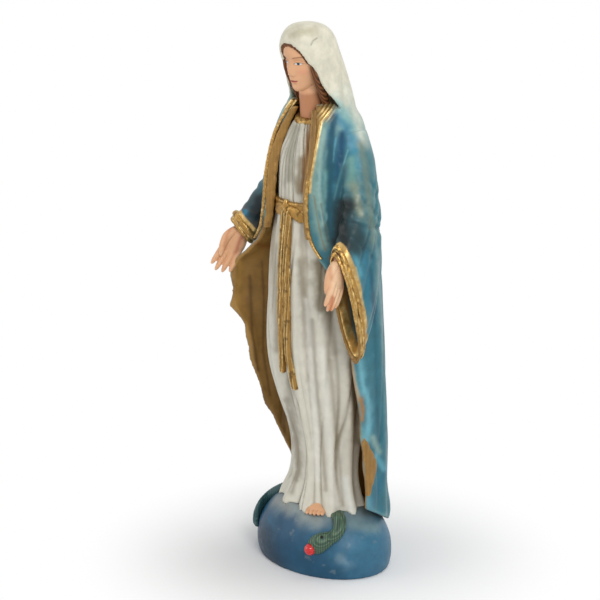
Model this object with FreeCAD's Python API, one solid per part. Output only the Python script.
import FreeCAD, Part
import math
import os
from FreeCAD import Vector

# Standing figure with open hands on a half globe. Millimetres, +Z up.
# The figure faces -Y, its own left side is +X, and the origin is the centre of the underside.

# Globe and what lies on it
globe_width = 86.6
globe_depth = 64.6
globe_height = 41.0
globe_rim_height = 8.0
globe_foot_inset = 1.6
foot_sink = 7.0
snake_radius = 3.6
snake_head_width = 10.4
snake_sink = 0.38
apple_radius = 3.4
foot_width = 11.0
foot_length = 12.0
toe_count = 5
toe_length = 5.0

# Gown, from the soles of the feet to the waist, and the bodice above it
gown_length = 169.0
hem_half_width = 28.0
hem_half_depth = 19.6
hem_drop = 3.0
ankle_half_width = 21.0
ankle_half_depth = 16.0
knee_half_width = 29.0
knee_half_depth = 22.0
waist_half_width = 20.5
waist_half_depth = 15.5
waist_forward = 9.0
gown_fold_count = 10
gown_fold_depth = 1.4
gown_lean = 0.6
torso_length = 46.0
chest_half_width = 22.0
chest_half_depth = 16.5
neckline_half_width = 9.0
neckline_half_depth = 8.2
gather_count = 9
gather_depth = 0.35
gather_lean = 0.3

# Sash round the waist
belt_width = 5.6
belt_thickness = 1.6
belt_clearance = 0.4
knot_width = 3.6
knot_height = 8.0
loop_length = 10.5
loop_height = 7.4
left_loop_droop = 4.4
right_loop_droop = 2.4
tail_width = 5.2
tail_thickness = 1.5
left_tail_length = 97.0
right_tail_length = 88.0
tail_drift = 4.6

# Mantle with its wide sleeves
mantle_half_width = 37.5
mantle_half_depth = 27.0
mantle_drop = 14.0
mantle_fold_count = 7
mantle_fold_depth = 1.3
cloth_thickness = 2.4
back_fill = 13.0
shoulder_half_width = 25.0
hem_rise = 22.0
sleeve_wall = 1.8
cuff_half_width = 1.6
cuff_thickness = 2.2
cuff_points = 12
trim_radius = 1.15
lapel_width = 4.6
lapel_thickness = 1.5

# Head, hair and veil
neck_radius = 6.4
neck_length = 16.0
head_height = 32.0
head_width = 22.5
head_depth = 27.0
head_forward = 12.0
head_tilt = 12.0
hair_thickness = 1.1
veil_thickness = 2.0
neckband_radius = 1.2
neckband_dip = 2.6
ruffle_height = 9.0

# Hands
palm_length = 14.5
palm_width = 12.4
palm_thickness = 4.6
finger_length = 13.0
finger_radius = 1.7
finger_count = 4
finger_reach = [0.82, 0.94, 1.0, 0.9]
finger_spread = 0.08
finger_curl = 0.35
thumb_radius = 2.1
wrist_radius = 3.5

# Points round one closed section
ring_points = 12
tube_points = 8

foot_level = globe_height - foot_sink
waist_level = foot_level + gown_length
neckline_level = waist_level + torso_length


def closed_spline(points):
    count = len(points)
    curve = Part.BSplineCurve()
    curve.interpolate(Points=points, PeriodicFlag=True, Parameters=[i / count for i in range(count + 1)])
    return curve.toShape()


def open_spline(points):
    last = len(points) - 1
    curve = Part.BSplineCurve()
    curve.interpolate(Points=points, Parameters=[i / last for i in range(last + 1)])
    return curve.toShape()


def ring(centre, side, up, count=ring_points):
    # Closed elliptical section given by its centre and its two half-axis vectors.
    points = []
    for i in range(count):
        turn = 2 * math.pi * i / count
        points.append(centre + side * math.cos(turn) + up * math.sin(turn))
    return Part.Wire(closed_spline(points))


def pole_pull(count):
    # Share of its poles' radius that a smooth closed curve reaches.
    return (2 + math.cos(2 * math.pi / count)) / 3


def skin_solid(rows):
    # Smooth solid whose side follows closed rows of poles and whose two ends are flat.
    count = len(rows[0])
    degree = min(3, len(rows) - 1)
    spans = len(rows) - degree
    poles = [[row[i] for row in rows] for i in range(count)]
    surface = Part.BSplineSurface()
    surface.buildFromPolesMultsKnots(poles, [1] * (count + 1), [degree + 1] + [1] * (spans - 1) + [degree + 1],
                                     list(range(count + 1)), list(range(spans + 1)), True, False, 3, degree)
    first = surface.vIso(0).toShape()
    last = surface.vIso(spans).toShape()
    shell = Part.makeShell([surface.toShape(), Part.Face(Part.Wire(first)), Part.Face(Part.Wire(last))])
    shell.sewShape()
    solid = Part.makeSolid(shell)
    if solid.Volume < 0:
        solid.reverse()
    return solid


def loop_solid(sections, count=tube_points):
    # Closed bead through sections given as (centre, side, up), the last one joining the first.
    pull = pole_pull(count)
    turns = [2 * math.pi * i / count for i in range(count)]
    poles = [[centre + side * (math.cos(turn) / pull) + up * (math.sin(turn) / pull)
              for centre, side, up in sections] for turn in turns]
    surface = Part.BSplineSurface()
    surface.buildFromPolesMultsKnots(poles, [1] * (count + 1), [1] * (len(sections) + 1), list(range(count + 1)),
                                     list(range(len(sections) + 1)), True, True, 3, 3)
    solid = Part.makeSolid(Part.makeShell([surface.toShape()]))
    if solid.Volume < 0:
        solid.reverse()
    return solid


def tube(stations, count=tube_points):
    # Smooth solid through elliptical sections, each station being (centre, side, up).
    pull = pole_pull(count)
    turns = [2 * math.pi * i / count for i in range(count)]
    rows = []
    for centre, side, up in stations:
        rows.append([centre + side * (math.cos(turn) / pull) + up * (math.sin(turn) / pull) for turn in turns])
    return skin_solid(rows)


def blend(stations, height):
    # Smooth value between rows of (height, value, value, ...).
    if height <= stations[0][0]:
        return stations[0][1:]
    for low, high in zip(stations, stations[1:]):
        if height <= high[0]:
            share = (height - low[0]) / (high[0] - low[0])
            share = share * share * (3 - 2 * share)
            return tuple(a + (b - a) * share for a, b in zip(low[1:], high[1:]))
    return stations[-1][1:]


def globe_surface(x, y):
    # Height of the dome above the point x, y.
    spread = (2 * x / globe_width) ** 2 + (2 * y / globe_depth) ** 2
    return globe_rim_height + (globe_height - globe_rim_height) * math.sqrt(max(0.0, 1 - spread))


def globe_normal(x, y):
    # Outward direction of the dome above the point x, y.
    rise = globe_height - globe_rim_height
    out = Vector(4 * x / globe_width ** 2, 4 * y / globe_depth ** 2, (globe_surface(x, y) - globe_rim_height) / rise ** 2)
    return out * (1 / out.Length)


# Gown stations: share of the gown's length, half width, half depth, centre along Y
gown_stations = [
    (-hem_drop / gown_length, hem_half_width, hem_half_depth, -1.5),
    (0.0, hem_half_width - 0.8, hem_half_depth - 0.7, -1.5),
    (0.03, hem_half_width - 3.4, hem_half_depth - 2.4, -1.0),
    (0.07, ankle_half_width + 1.0, ankle_half_depth - 0.3, 0.3),
    (0.12, ankle_half_width - 0.4, ankle_half_depth - 0.6, 1.0),
    (0.20, ankle_half_width, ankle_half_depth, 1.6),
    (0.285, 0.5 * (ankle_half_width + knee_half_width) - 0.5, 0.5 * (ankle_half_depth + knee_half_depth) - 1, -1.0),
    (0.385, knee_half_width - 2, knee_half_depth - 2, -4.2),
    (0.47, knee_half_width, knee_half_depth, -6.5),
    (0.58, knee_half_width + 0.4, knee_half_depth + 0.3, -7.2),
    (0.70, knee_half_width - 0.5, knee_half_depth - 0.5, -7.2),
    (0.80, knee_half_width - 1.5, knee_half_depth - 2, -7.6),
    (0.90, knee_half_width - 4.5, knee_half_depth - 4, -8.4),
    (0.96, waist_half_width + 1, waist_half_depth + 0.8, -waist_forward),
    (1.0, waist_half_width, waist_half_depth, -waist_forward),
]

# How deep the gown's folds are at a share of its length: full at the hem, shallow at the waist
fold_strength = [(0.0, 1.15), (0.15, 0.8), (0.5, 1.0), (0.85, 0.75), (1.0, 0.4)]

# Bodice stations: share of the torso's length and the same three sizes
bodice_stations = [
    (0.0, waist_half_width, waist_half_depth, -waist_forward),
    (0.26, 0.5 * (waist_half_width + chest_half_width), chest_half_depth - 0.6, -8.3),
    (0.52, chest_half_width, chest_half_depth, -7.2),
    (0.74, chest_half_width - 2, chest_half_depth - 2.4, -6.6),
    (0.90, neckline_half_width + 5, neckline_half_depth + 2.4, -7.2),
    (1.0, neckline_half_width, neckline_half_depth, -8.4),
]


def pleated_row(height, half_width, half_depth, centre, pleats, depth, lean):
    # Closed row of poles with upright pleats; four poles shape each pleat.
    count = pleats * 4
    amplitude = depth / pole_pull(4)
    points = []
    for i in range(count):
        turn = 2 * math.pi * i / count
        wave = amplitude * math.cos(pleats * turn + lean)
        x = (half_width + wave) * math.cos(turn)
        y = centre + (half_depth + wave) * math.sin(turn)
        points.append(Vector(x, y, height))
    return points


def make_globe():
    # Dome with a flat stand for the figure and a slightly tucked foot.
    rise = globe_height - globe_rim_height
    last_turn = math.asin((foot_level - globe_rim_height) / rise)
    half_width = globe_width / 2
    half_depth = globe_depth / 2
    levels = [(0.0, globe_foot_inset), (0.35 * globe_rim_height, 0.4 * globe_foot_inset), (0.8 * globe_rim_height, 0.0)]
    stations = []
    for height, inset in levels:
        stations.append((Vector(0, 0, height), Vector(half_width - inset, 0, 0), Vector(0, half_depth - inset, 0)))
    dome_steps = 5
    for step in range(1, dome_steps + 1):
        turn = last_turn * step / dome_steps
        swell_out = 1.0 if step == dome_steps else 1.012
        stations.append((Vector(0, 0, globe_rim_height + rise * math.sin(turn)),
                         Vector(swell_out * half_width * math.cos(turn), 0, 0),
                         Vector(0, swell_out * half_depth * math.cos(turn), 0)))
    return tube(stations, 12)


def make_gown(globe):
    rows = []
    for share, half_width, half_depth, centre in gown_stations:
        depth = gown_fold_depth * blend(fold_strength, share)[0]
        height = foot_level + share * gown_length
        rows.append(pleated_row(height, half_width, half_depth, centre, gown_fold_count, depth, gown_lean))
    return skin_solid(rows).cut(globe)


def make_bodice():
    rows = []
    for share, half_width, half_depth, centre in bodice_stations:
        height = waist_level + share * torso_length
        rows.append(pleated_row(height, half_width, half_depth, centre, gather_count, gather_depth, gather_lean))
    return skin_solid(rows)


def figure_front(x, height):
    # Y of the gown's or bodice's front face at the point x on that level.
    if height <= waist_level:
        half_width, half_depth, centre = blend(gown_stations, (height - foot_level) / gown_length)
    else:
        half_width, half_depth, centre = blend(bodice_stations, (height - waist_level) / torso_length)
    return centre - half_depth * math.sqrt(max(0.0, 1 - (x / half_width) ** 2))


def make_belt(body):
    # Folded band round the waist, thin along its edges.
    sections = []
    for share, proud in [(-0.5, 0.3), (-0.3, 1.0), (0.0, 0.8), (0.3, 1.0), (0.5, 0.3)]:
        out = belt_thickness * proud + belt_clearance
        sections.append(ring(Vector(0, -waist_forward, waist_level + share * belt_width),
                             Vector(waist_half_width + out, 0, 0),
                             Vector(0, waist_half_depth + out, 0)))
    return Part.makeLoft(sections, True, False).cut(body)


def make_knot(body):
    # Upright knot in front of the belt, fullest a little above and below its middle.
    front = figure_front(0, waist_level) - belt_thickness
    stations = []
    for share, wide, deep in [(0.5, 0.5, 0.5), (0.28, 1.0, 0.95), (0.0, 0.85, 1.0), (-0.28, 1.0, 0.9),
                              (-0.5, 0.6, 0.5)]:
        centre = Vector(0, front - 0.4 * belt_thickness, waist_level + share * knot_height)
        stations.append((centre, Vector(0.5 * knot_width * wide, 0, 0), Vector(0, 1.3 * belt_thickness * deep, 0)))
    return tube(stations).cut(body)


def make_loop(side, droop, body):
    # Bow loop from the knot outwards, side being +1 for the figure's left.
    stations = []
    for share, tall, thick in [(0.0, 0.4, 0.55), (0.28, 0.8, 0.75), (0.6, 1.0, 0.9), (0.88, 0.9, 0.75),
                               (1.0, 0.45, 0.4)]:
        x = side * (0.25 * knot_width + loop_length * share)
        z = waist_level - 0.1 * loop_height - droop * share
        y = figure_front(x, waist_level) - belt_thickness - 0.35 * belt_thickness
        half = 0.5 * loop_height * tall
        stations.append((Vector(x, y, z), Vector(0, -belt_thickness * thick, 0), Vector(0, 0, side * half)))
    return tube(stations).cut(body)


def make_tail(side, length, body):
    # Hanging sash end that widens slightly and follows the gown's front.
    start = waist_level - 2.0
    stations = []
    steps = 7
    for step in range(steps + 1):
        share = step / steps
        height = start - length * share
        x = tail_drift * share + side * tail_width * (0.30 + 0.24 * share)
        y = figure_front(x, height) - gown_fold_depth - 0.45 * tail_thickness
        half = 0.5 * tail_width * (0.72 + 0.28 * math.sin(math.pi * min(1.0, 0.15 + share)))
        stations.append((Vector(x, y, height), Vector(half, 0.1 * side, 0), Vector(0, tail_thickness, 0)))
    return tube(stations).cut(body)


# Mantle outline stations: height over the feet, half width, half depth, centre along Y
mantle_stations = [
    (-mantle_drop, mantle_half_width + 0.4, mantle_half_depth + 2.0, 1.3),
    (16.0, mantle_half_width + 0.8, mantle_half_depth + 2.8, 1.3),
    (40.0, mantle_half_width + 1.2, mantle_half_depth + 2.4, 1.3),
    (64.0, mantle_half_width + 1.0, mantle_half_depth + 1.0, 0.7),
    (88.0, mantle_half_width, mantle_half_depth - 0.5, 0.6),
    (104.0, mantle_half_width - 0.5, mantle_half_depth - 1.0, 0.0),
    (123.0, mantle_half_width - 1.5, mantle_half_depth - 2.0, 0.0),
    (146.0, mantle_half_width - 2.5, mantle_half_depth - 3.5, 0.0),
    (163.0, shoulder_half_width + 9.0, mantle_half_depth - 4.5, -1.3),
    (179.0, shoulder_half_width + 8.0, mantle_half_depth - 6.0, -2.0),
    (198.0, shoulder_half_width + 5.0, mantle_half_depth - 7.5, -3.0),
    (212.0, shoulder_half_width + 1.8, mantle_half_depth - 8.6, -3.2),
    (218.0, shoulder_half_width - 1.4, mantle_half_depth - 10.0, -3.8),
    (223.0, shoulder_half_width - 11.0, mantle_half_depth - 14.6, -5.0),
]

# How deep the mantle's folds are at a height over the feet: full at the hem, fading to the shoulder
drape_strength = [(-mantle_drop, 1.2), (60.0, 1.0), (130.0, 0.9), (190.0, 0.6), (223.0, 0.2)]

# Front edges of the mantle: height over the feet, X, Y
left_edge = [
    (-mantle_drop, 37.0, 2.0),
    (6.0, 38.0, -1.5),
    (26.0, 38.0, -3.0),
    (46.0, 38.5, -6.0),
    (58.0, 38.8, -8.0),
    (72.0, 38.0, -9.0),
    (86.0, 36.0, -11.5),
    (106.0, 36.0, -13.0),
    (126.0, 34.0, -16.0),
    (141.0, 26.0, -23.0),
    (156.0, 18.0, -26.5),
    (171.0, 15.7, -26.5),
    (185.0, 15.7, -25.0),
    (201.0, 16.5, -21.5),
    (213.0, 13.5, -18.5),
    (223.0, 9.6, -14.5),
]
right_edge = [
    (-mantle_drop, -36.0, 14.0),
    (10.0, -38.0, 9.0),
    (27.0, -40.0, 2.2),
    (42.0, -43.0, -4.8),
    (53.0, -45.5, -9.2),
    (63.0, -46.5, -11.2),
    (80.0, -49.0, -14.9),
    (94.0, -51.0, -16.7),
    (108.0, -50.5, -18.0),
    (126.0, -47.0, -18.5),
    (141.0, -35.0, -20.5),
    (156.0, -21.0, -26.0),
    (171.0, -18.0, -26.5),
    (185.0, -18.5, -25.0),
    (201.0, -18.0, -21.5),
    (213.0, -14.0, -18.5),
    (223.0, -9.6, -14.5),
]
mantle_levels = [-mantle_drop, 6, 26, 46, 62, 78, 94, 110, 126, 141, 156, 171, 185, 201, 212, 218, 223]
mantle_steps = 4 * mantle_fold_count


def edge_pull(share):
    # How strongly an edge drags the outline beside it, fading over a third of the way round.
    return max(0.0, 1 - share / 0.34) ** 2


def mantle_section(height):
    half_width, half_depth, centre = blend(mantle_stations, height)
    left_x, left_y = blend(left_edge, height)
    right_x, right_y = blend(right_edge, height)
    left_turn = math.atan2(left_y - centre, left_x)
    right_turn = math.atan2(right_y - centre, right_x)
    if right_turn < 0:
        right_turn += 2 * math.pi

    drape = mantle_fold_depth * blend(drape_strength, height)[0]

    def oval(turn):
        return 1 / math.hypot(math.cos(turn) / half_width, math.sin(turn) / half_depth)

    left_extra = math.hypot(left_x, left_y - centre) - oval(left_turn)
    right_extra = math.hypot(right_x, right_y - centre) - oval(right_turn)
    outer = []
    inner = []
    for step in range(mantle_steps + 1):
        share = step / mantle_steps
        turn = left_turn + (right_turn - left_turn) * share
        reach = oval(turn) + left_extra * edge_pull(share) + right_extra * edge_pull(1 - share)
        bulk = math.sin(math.pi * share)
        reach += drape * math.sqrt(bulk) * math.cos(2 * math.pi * mantle_fold_count * share)
        depth = cloth_thickness + (back_fill - cloth_thickness) * bulk ** 0.8
        depth = min(depth, 0.8 * reach)
        direction = Vector(math.cos(turn), math.sin(turn), 0)
        middle = Vector(0, centre, foot_level + height)
        outer.append(middle + direction * reach)
        inner.append(middle + direction * (reach - depth))
    inner.reverse()
    outer_edge = open_spline(outer)
    inner_edge = open_spline(inner)
    right_cap = Part.makeLine(outer[-1], inner[0])
    left_cap = Part.makeLine(inner[-1], outer[0])
    return Part.Wire([outer_edge, right_cap, inner_edge, left_cap])


def make_mantle(body):
    mantle = Part.makeLoft([mantle_section(height) for height in mantle_levels], True, False)
    # The lower hem rises from the back of the globe to the front of the feet.
    low = foot_level - mantle_drop
    wide = 2 * mantle_half_width
    deep = 2 * mantle_half_depth
    under = low - hem_rise
    slope = [(deep, under), (deep, low - 9), (mantle_half_depth + 4, low - 1), (-8, low + hem_rise),
             (-deep, low + hem_rise + 4), (-deep, under)]
    outline = [Vector(-wide, y, z) for y, z in slope]
    mantle = mantle.cut(Part.Face(Part.makePolygon(outline + [outline[0]])).extrude(Vector(2 * wide, 0, 0)))
    for neighbour in body:
        mantle = mantle.cut(neighbour)
    return mantle


# Sleeve stations from the shoulder to the mouth, over the feet: centre, side half axis, back half axis
left_sleeve_stations = [
    (Vector(22, -3, 210), Vector(8.5, 0, 1.0), Vector(0, 9.5, 0)),
    (Vector(31, -3, 192), Vector(9.0, 0, 2.0), Vector(0, 10.5, -2)),
    (Vector(37, -5, 172), Vector(8.8, 0, 2.0), Vector(0, 11.5, -8)),
    (Vector(42, -12, 146), Vector(8.5, 1.6, 0), Vector(1, 11, -21)),
    (Vector(45.5, -20, 130), Vector(7.8, 1.4, 0), Vector(2, 7, -28)),
    (Vector(46.6, -25.5, 124), Vector(7.2, 0.6, 0), Vector(3, 5.5, -31)),
]
right_sleeve_stations = [
    (Vector(-21, -3, 210), Vector(8.0, 0, -1.0), Vector(0, 9.0, 0)),
    (Vector(-26, -3, 193), Vector(7.5, 0, -2.0), Vector(0, 10.0, -1)),
    (Vector(-31, -5, 175), Vector(7.0, 1, -4.0), Vector(-1, 9.5, -3)),
    (Vector(-37.5, -9.5, 160), Vector(6.6, 2, -5.5), Vector(-2.5, 8.5, -4)),
    (Vector(-44, -14.2, 150.5), Vector(5.9, 3, -6.6), Vector(-4, 6.6, -2.5)),
    (Vector(-48.2, -17.6, 146), Vector(5.35, 3.2, -7.0), Vector(-4.4, 4.6, -1.3)),
]


def raised(station):
    centre, side, up = station
    return (centre + Vector(0, 0, foot_level), side, up)


def swell(station, amount):
    # Same section grown or shrunk by an amount along both half axes.
    centre, side, up = station
    return (centre, side * (1 + amount / side.Length), up * (1 + amount / up.Length))


def shifted(station, move):
    centre, side, up = station
    return (centre + move, side, up)


def sleeve_hollow(stations):
    # Bell-shaped space inside the sleeve, open at the cuff.
    first, second, last = [raised(station) for station in stations[-3:]]
    ahead = last[0] - second[0]
    deep = swell(first, -sleeve_wall - 0.5 * first[1].Length)
    return tube([deep, swell(second, -sleeve_wall), swell(last, -sleeve_wall),
                 shifted(swell(last, -sleeve_wall), ahead)])


def make_sleeve(stations, body):
    sleeve = tube([raised(station) for station in stations])
    return sleeve.cut([sleeve_hollow(stations)] + body)


def make_cuff(stations, back, proud, body):
    # Gilt bead round the sleeve, set back from the mouth and standing proud of the cloth.
    last = raised(stations[-1])
    before = raised(stations[-2])
    ahead = last[0] - before[0]
    share = back / ahead.Length
    centre, side, up = [end + (start - end) * share for start, end in zip(before, last)]
    ahead = ahead * (1 / ahead.Length)
    sections = []
    for i in range(cuff_points):
        turn = 2 * math.pi * i / cuff_points
        out = side * math.cos(turn) + up * math.sin(turn)
        unit = out * (1 / out.Length)
        sections.append((centre + out + unit * proud, unit * (0.5 * cuff_thickness), ahead * cuff_half_width))
    return loop_solid(sections, 6).cut(body)


def mantle_edge_point(edge, height, outwards):
    x, y = blend(edge, height)
    centre = blend(mantle_stations, height)[2]
    direction = Vector(x, y - centre, 0)
    direction = direction * (1 / direction.Length)
    return Vector(x, y, foot_level + height) + direction * outwards


def make_trim(edge, body):
    # Raised gilt cord along the front edge of the mantle, from the neck to the cuff.
    stations = []
    for height in [221, 213, 205, 195, 185, 175, 165, 156, 150, 145]:
        point = mantle_edge_point(edge, height, 0.2)
        stations.append((point, Vector(trim_radius, 0, 0), Vector(0, trim_radius, 0)))
    return tube(stations).cut(body)


def make_lapel(edge, side, body):
    # Turned lining beside the trim, a narrow leaf that lies on the bodice.
    stations = []
    for height, share in [(220, 0.5), (212, 0.9), (200, 1.0), (188, 1.0), (176, 1.0), (164, 0.9), (154, 0.6)]:
        point = mantle_edge_point(edge, height, -0.5 * cloth_thickness)
        point = point + Vector(-side * 0.5 * lapel_width, 0.3, 0)
        stations.append((point, Vector(0.5 * lapel_width * share, -0.25 * side * lapel_width * share, 0),
                         Vector(0, lapel_thickness, 0)))
    return tube(stations).cut(body)


def make_turnback(body):
    # Lower corner of the mantle turned outwards, so that its lining shows.
    stations = []
    for height, half, push in [(46, 0.8, 0.2), (40, 2.6, 0.8), (32, 4.6, 1.2), (25, 4.4, 1.2), (18, 2.4, 0.8),
                               (12, 0.8, 0.2)]:
        point = mantle_edge_point(left_edge, height, push)
        stations.append((point + Vector(-0.3, half * 0.7, 0), Vector(-0.4, half, 0), Vector(1.3, 0.4, 0)))
    return tube(stations).cut(body)


def make_neckband(body):
    # Rolled gilt hem of the neckline, lower at the front than at the nape.
    sections = []
    for i in range(cuff_points):
        turn = 2 * math.pi * i / cuff_points
        out = Vector(math.cos(turn), math.sin(turn), 0)
        level = neckline_level + 0.4 + neckband_dip * math.sin(turn)
        centre = Vector((neckline_half_width + 0.2) * math.cos(turn),
                        -8.6 + (neckline_half_depth + 0.2) * math.sin(turn), level)
        sections.append((centre, out * neckband_radius, Vector(0, 0, neckband_radius * 1.15)))
    return loop_solid(sections).cut(body)


# Head outline: share of its height from the chin, half width, front depth, back depth
head_stations = [
    (0.0, 0.12, 0.33, 0.00),
    (0.05, 0.22, 0.42, 0.04),
    (0.12, 0.31, 0.45, 0.12),
    (0.20, 0.37, 0.46, 0.22),
    (0.30, 0.43, 0.455, 0.34),
    (0.40, 0.465, 0.44, 0.43),
    (0.50, 0.485, 0.435, 0.50),
    (0.60, 0.495, 0.465, 0.535),
    (0.72, 0.48, 0.455, 0.535),
    (0.84, 0.41, 0.38, 0.45),
    (0.93, 0.29, 0.26, 0.31),
    (0.98, 0.16, 0.15, 0.18),
    (1.0, 0.06, 0.06, 0.07),
]


def nose_height(share):
    # Nose ridge: starts between the brows and is highest at its tip.
    if share < 0.29 or share > 0.56:
        return 0.0
    if share < 0.34:
        return 0.115 * (share - 0.29) / 0.05
    return 0.115 * (0.56 - share) / 0.22


def head_centre():
    return Vector(0, -head_forward, neckline_level + neck_length + 0.5 * head_height)


def make_skull(grow):
    # Head shape in its upright position, grown by a thickness, then tilted forwards.
    sections = []
    count = 32
    for share, half, front, back in head_stations:
        nose = nose_height(share) if grow == 0 else 0.0
        points = []
        for i in range(count):
            turn = 2 * math.pi * i / count
            x = (head_width * half + grow) * math.sin(turn)
            depth = (head_depth * front if math.cos(turn) > 0 else head_depth * back) + grow
            y = -depth * math.cos(turn) - head_depth * nose * math.exp(-(math.sin(turn / 2) / 0.12) ** 2)
            points.append(Vector(x, y, (share - 0.5) * (head_height + 2 * grow)))
        sections.append(Part.Wire(closed_spline(points)))
    skull = Part.makeLoft(sections, True, False)
    skull.rotate(Vector(0, 0, 0), Vector(1, 0, 0), head_tilt)
    skull.translate(head_centre())
    return skull


def make_head(body):
    base = neckline_level - 3.0
    top = head_centre()
    neck = tube([
        (Vector(0, -8.0, base), Vector(neck_radius + 1.2, 0, 0), Vector(0, neck_radius + 0.6, 0)),
        (Vector(0, -8.6, base + 7), Vector(neck_radius, 0, 0), Vector(0, neck_radius, 0)),
        (Vector(0, -9.4, base + 15), Vector(neck_radius, 0, 0), Vector(0, neck_radius + 0.4, 0)),
        (Vector(0, -9.8, top.z - 0.12 * head_height), Vector(neck_radius + 0.6, 0, 0), Vector(0, neck_radius + 1, 0)),
    ])
    return make_skull(0).fuse(neck).cut(body)


def side_prism(points):
    # Block across the whole width, in front of a line given as (Y, Z) points.
    far = -90.0
    outline = [Vector(-60, far, points[0][1] + 14)] + [Vector(-60, points[0][0] - 12, points[0][1] + 14)]
    curve = open_spline([Vector(-60, y, z) for y, z in points])
    start = Vector(-60, points[0][0], points[0][1])
    finish = Vector(-60, points[-1][0], points[-1][1])
    low = Vector(-60, far, points[-1][1] - 8)
    edges = [curve, Part.makeLine(finish, Vector(-60, finish.y - 4, finish.z - 8)),
             Part.makeLine(Vector(-60, finish.y - 4, finish.z - 8), low), Part.makeLine(low, outline[0]),
             Part.makeLine(outline[0], outline[1]), Part.makeLine(outline[1], start)]
    return Part.Face(Part.Wire(edges)).extrude(Vector(120, 0, 0))


def veil_front(inset):
    # Front edge of the veil in side view, moved forwards by the inset.
    top = head_centre()
    drops = [(-15.2, 10.6), (-12.2, 5.0), (-8.0, -1.6), (-4.2, -7.6), (-1.6, -13.6), (4.6, -24.0)]
    return [(top.y + y - inset, top.z + z) for y, z in drops]


def make_hair(head):
    cap = make_skull(hair_thickness)
    lower = Part.makeBox(80, 80, 40, Vector(-40, -60, head_centre().z - 40 - 0.30 * head_height))
    rear = Part.makeBox(80, 80, 80, Vector(-40, head_centre().y - 3.0, head_centre().z - 40))
    return cap.cut([side_prism(veil_front(2.6)), lower, rear, head])


def make_lock(side, body):
    # Strand of hair that falls beside the neck, under the veil.
    top = head_centre()
    reach = 0.5 * head_width + 0.2
    return tube([
        (top + Vector(side * (reach - 0.6), -5.4, -2.0), Vector(1.0, 0, 0), Vector(0, 2.4, 0)),
        (top + Vector(side * reach, -4.0, -7.0), Vector(1.4, 0, 0), Vector(0, 3.0, 0)),
        (top + Vector(side * (reach - 0.4), -1.0, -13.0), Vector(1.6, 0, 0), Vector(0, 3.2, 0)),
        (top + Vector(side * (reach - 0.6), 2.0, -19.0), Vector(1.6, 0, 0), Vector(0, 3.0, 0)),
        (top + Vector(side * (reach - 1.2), 4.0, -24.5), Vector(1.0, 0, 0), Vector(0, 2.0, 0)),
    ]).cut(body)


# Veil outline: depth below the crown, half width, half depth, centre along Y from the head's centre
veil_stations = [
    (0.0, 3.2, 3.6, -1.6),
    (0.6, 7.0, 8.4, -1.2),
    (3.4, 10.6, 12.8, -0.4),
    (8.4, 13.4, 15.6, 0.0),
    (15.2, 14.6, 16.8, 0.8),
    (23.2, 15.6, 17.4, 3.4),
    (32.2, 17.4, 17.2, 6.2),
    (42.2, 21.0, 17.2, 7.8),
    (51.2, 24.0, 17.0, 8.2),
    (62.0, 25.0, 16.2, 8.6),
]


def veil_tube(inset):
    top = head_centre()
    crown = top.z + 0.5 * head_height + veil_thickness + 0.4
    stations = []
    for drop, half_width, half_depth, back in veil_stations:
        if half_width - inset < 1.0:
            continue
        stations.append((Vector(0, top.y + back, crown - drop - (inset if drop < 6 else 0.0)),
                         Vector(half_width - inset, 0, 0), Vector(0, half_depth - inset, 0)))
    return tube(stations)


def make_veil(body):
    top = head_centre()
    hem = [Vector(-60, -60, top.z - 25.5), Vector(-60, 4, top.z - 27.5), Vector(-60, 40, top.z - 62.0),
           Vector(-60, 40, top.z - 90), Vector(-60, -60, top.z - 90)]
    below = Part.Face(Part.makePolygon(hem + [hem[0]])).extrude(Vector(120, 0, 0))
    return veil_tube(0.0).cut([veil_tube(veil_thickness), side_prism(veil_front(0.0)), below] + body)


def make_ruffle(side, body):
    # Small pleated collar piece between the neckband and the lapel, widest near its top.
    stations = []
    for share, half in [(0.0, 1.6), (0.2, 2.6), (0.4, 2.1), (0.6, 3.1), (0.8, 2.6), (1.0, 1.4)]:
        centre = Vector(side * (11.2 + 2.8 * share), -13.2 + 4.6 * share, neckline_level + ruffle_height * share)
        stations.append((centre, Vector(side * 0.8, -0.9, 0), Vector(0.3 * side * half, 0.9 * half, -0.3 * half)))
    return tube(stations, 6).cut(body)


def finger(start, direction, bend, length, radius):
    # Tapered finger that curls towards the bend direction.
    stations = []
    side = direction.cross(bend)
    side = side * (1 / side.Length)
    place = Vector(start)
    before = 0.0
    for share, size in [(0.0, 1.0), (0.3, 1.04), (0.6, 0.93), (0.9, 0.78), (1.0, 0.3)]:
        course = direction + bend * (finger_curl * share)
        course = course * (1 / course.Length)
        place = place + course * (length * (share - before))
        before = share
        up = side.cross(course)
        stations.append((Vector(place), side * (radius * size), up * (radius * size)))
    return tube(stations, 6)


# Thumb stations in the hand's own directions: along the hand, towards the thumb, out of the palm, size
thumb_stations = [(1.0, 3.0, 0.2, 1.1), (5.5, 5.8, 0.9, 1.35), (10.5, 5.9, 2.0, 1.05), (14.5, 5.0, 2.8, 0.95),
                  (17.5, 4.0, 3.2, 0.75), (18.5, 3.6, 3.3, 0.3)]


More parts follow.
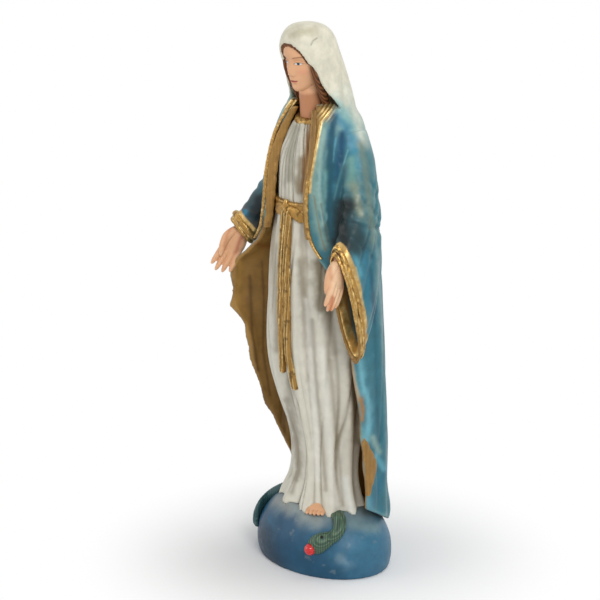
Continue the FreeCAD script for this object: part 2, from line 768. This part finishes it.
def make_hand(wrist, ahead, thumb_side, palm_sign, body):
    # Open hand: wrist and palm in one, four fingers and a thumb on the given side.
    ahead = ahead * (1 / ahead.Length)
    across = thumb_side - ahead * thumb_side.dot(ahead)
    across = across * (1 / across.Length)
    normal = across.cross(ahead) * palm_sign
    half = 0.5 * palm_width
    thick = 0.5 * palm_thickness
    palm = []
    for share, wide, deep in [(-0.65, wrist_radius, wrist_radius), (-0.2, wrist_radius, 0.9 * wrist_radius),
                              (0.2, wrist_radius + 1.2, 1.2 * thick), (0.5, 1.02 * half, 1.1 * thick),
                              (0.8, half, 0.95 * thick), (1.0, 0.88 * half, 0.65 * thick)]:
        palm.append((wrist + ahead * (palm_length * share), across * wide, normal * deep))
    hand = tube(palm)
    palm_end = palm[-1][0]
    for i in range(finger_count):
        offset = 2 * i / (finger_count - 1) - 1
        root = palm_end - ahead * (1.6 + 1.0 * abs(offset)) + across * (offset * (half - finger_radius))
        course = ahead + across * (finger_spread * offset)
        course = course * (1 / course.Length)
        length = finger_length * finger_reach[i] + 1.6
        hand = hand.fuse(finger(root, course, normal, length, finger_radius))
    thumb = []
    for along, out, proud, size in thumb_stations:
        centre = wrist + ahead * along + across * out + normal * proud
        thumb.append((centre, across * (thumb_radius * size), normal * (thumb_radius * size)))
    return hand.fuse(tube(thumb, 6)).cut(body)


def make_foot(body):
    # Front of one bare foot under the hem, its toes bent down over the dome.
    ahead = Vector(0.53, -0.82, -0.24)
    ahead = ahead * (1 / ahead.Length)
    across = Vector(0.84, 0.54, 0)
    rise = ahead.cross(across) * -1
    middle = Vector(13.4, -16.8, foot_level + 0.6)
    half = 0.5 * foot_width
    stations = []
    for share, wide, tall in [(-0.75, 0.8, 3.4), (-0.2, 0.96, 2.8), (0.0, 0.96, 2.1), (0.15, 0.9, 1.5)]:
        stations.append((middle + ahead * (foot_length * share), across * (half * wide), rise * tall))
    foot = tube(stations)
    radius = 0.5 * foot_width / toe_count
    for i in range(toe_count):
        offset = (i + 0.5) / toe_count - 0.5
        start = middle + across * (offset * foot_width) + ahead * (0.4 - 1.2 * abs(offset))
        toe = []
        for share, size in [(0.0, 1.0), (0.5, 1.06), (0.85, 0.95), (1.0, 0.45)]:
            toe.append((start + ahead * (toe_length * share), across * (radius * size), rise * (1.1 * radius * size)))
        foot = foot.fuse(tube(toe, 6))
    return foot.cut(body)


def crawl(points, radii, flat, body):
    # Round body that lies along points X, Y on the dome and sinks a little into it.
    places = []
    for (x, y), radius in zip(points, radii):
        sunk = radius * flat * (1 - snake_sink)
        places.append(Vector(x, y, globe_surface(x, y)) + globe_normal(x, y) * sunk)
    stations = []
    for i, radius in enumerate(radii):
        course = places[min(len(places) - 1, i + 1)] - places[max(0, i - 1)]
        side = course.cross(globe_normal(*points[i]))
        side = side * (1 / side.Length)
        up = side.cross(course)
        up = up * (1 / up.Length)
        stations.append((places[i], side * radius, up * (radius * flat)))
    return tube(stations).cut(body)


# Ways of the snake over the dome, X and Y
snake_path = [(16, -8), (22.4, -10.6), (27.4, -12.0), (30.2, -14.4), (29.9, -17.8), (27.6, -20.6)]
snake_head_path = [(29.0, -18.6), (27.0, -21.3), (25.2, -23.3), (23.6, -24.9), (22.2, -26.2), (21.2, -27.1)]
tail_path = [(-14, -11), (-21, -13.6), (-27.6, -15.4), (-32.4, -16.6), (-34.2, -18.2), (-32.6, -20.6),
             (-29.6, -22.8)]
apple_place = (21.8, -26.6)


def make_snake(body):
    share = [1.0, 1.0, 1.0, 0.98, 0.95, 0.9]
    return crawl(snake_path, [snake_radius * size for size in share], 0.9, body)


def make_snake_head(body):
    half = 0.5 * snake_head_width
    share = [0.62, 0.86, 1.0, 0.98, 0.82, 0.4]
    return crawl(snake_head_path, [half * size for size in share], 0.72, body)


def make_snake_tail(body):
    share = [1.0, 1.0, 1.0, 0.95, 0.8, 0.6, 0.3]
    return crawl(tail_path, [snake_radius * size for size in share], 0.9, body)


def make_apple(body):
    # Apple in the snake's open mouth, with a small dimple at its top.
    x, y = apple_place
    centre = Vector(x, y, globe_surface(x, y)) + globe_normal(x, y) * (1.05 * apple_radius)
    stations = []
    for rise, size in [(-0.96, 0.2), (-0.8, 0.62), (-0.3, 0.98), (0.3, 1.0), (0.8, 0.66), (0.92, 0.25)]:
        stations.append((centre + Vector(0, 0, apple_radius * rise), Vector(apple_radius * size, 0, 0),
                         Vector(0, apple_radius * size, 0)))
    return tube(stations).cut(body)


def largest(shape):
    return max(shape.Solids, key=lambda solid: solid.Volume)


def build_all():
    built = {}

    def keep(name, shape):
        built[name] = largest(shape)
        return built[name]

    globe = keep("globe_base", make_globe())
    gown = keep("gown_skirt", make_gown(globe))
    bodice = keep("gown_bodice", make_bodice())
    head = keep("head_and_neck", make_head([bodice]))
    neckband = keep("gown_neckband", make_neckband([bodice, head]))
    mantle = keep("mantle_body", make_mantle([globe, gown, bodice, neckband]))
    belt = keep("sash_belt", make_belt([gown, bodice, mantle]))
    knot = keep("sash_knot", make_knot([gown, bodice, belt]))
    left_loop = keep("sash_loop_left", make_loop(1, left_loop_droop, [gown, bodice, belt, knot]))
    right_loop = keep("sash_loop_right", make_loop(-1, right_loop_droop, [gown, bodice, belt, knot]))
    bow = [gown, belt, knot, left_loop, right_loop]
    tail = keep("sash_tail_left", make_tail(1, left_tail_length, bow))
    keep("sash_tail_right", make_tail(-1, right_tail_length, bow + [tail]))
    left_sleeve = keep("sleeve_left", make_sleeve(left_sleeve_stations, [mantle, gown, bodice]))
    right_sleeve = keep("sleeve_right", make_sleeve(right_sleeve_stations, [mantle, gown, bodice]))
    cuff_body = {}
    for side, stations, sleeve in [("left", left_sleeve_stations, left_sleeve),
                                   ("right", right_sleeve_stations, right_sleeve)]:
        rim = keep("cuff_rim_" + side, make_cuff(stations, -0.2 * cuff_half_width, -0.4 * sleeve_wall, [sleeve, mantle]))
        roll_back = 1.8 * cuff_half_width
        roll = keep("cuff_roll_" + side, make_cuff(stations, roll_back, 0.45 * cuff_thickness, [sleeve, rim, mantle]))
        cuff_body[side] = [sleeve, rim, roll]
    left_trim = keep("mantle_trim_left", make_trim(left_edge, [mantle] + cuff_body["left"]))
    right_trim = keep("mantle_trim_right", make_trim(right_edge, [mantle] + cuff_body["right"]))
    left_lapel = keep("lapel_lining_left", make_lapel(left_edge, 1, [mantle, bodice, left_trim]))
    right_lapel = keep("lapel_lining_right", make_lapel(right_edge, -1, [mantle, bodice, right_trim]))
    keep("mantle_turned_corner", make_turnback([gown, mantle, globe]))
    hair = keep("hair_cap", make_hair(head))
    left_lock = keep("hair_lock_left", make_lock(1, [head, hair]))
    right_lock = keep("hair_lock_right", make_lock(-1, [head, hair]))
    veil = keep("veil", make_veil([head, hair, left_lock, right_lock, mantle]))
    keep("collar_ruffle_left", make_ruffle(1, [bodice, neckband, mantle, left_trim, left_lapel, left_lock, veil, head]))
    keep("collar_ruffle_right", make_ruffle(-1, [bodice, neckband, mantle, right_trim, right_lapel, right_lock, veil,
                                                 head]))
    keep("hand_left", make_hand(Vector(42.5, -26.4, foot_level + 148), Vector(0.24, -0.34, -0.91),
                                Vector(0.25, -0.75, 0.45), -1, cuff_body["left"]))
    keep("hand_right", make_hand(Vector(-48.2, -17.6, foot_level + 146), Vector(-0.30, -0.44, -0.885),
                                 Vector(-0.40, -0.475, 0.78), 1, cuff_body["right"] + [mantle]))
    keep("foot_toes", make_foot([gown, globe]))
    snake = keep("snake_body", make_snake([globe, gown]))
    apple = keep("apple", make_apple([globe]))
    keep("snake_head", make_snake_head([globe, snake, apple]))
    keep("snake_tail", make_snake_tail([globe, gown]))
    return built


def main():
    os.makedirs("parts", exist_ok=True)
    for name, solid in build_all().items():
        solid.exportStep("parts/" + name + ".step")


if __name__ == "__main__":
    main()
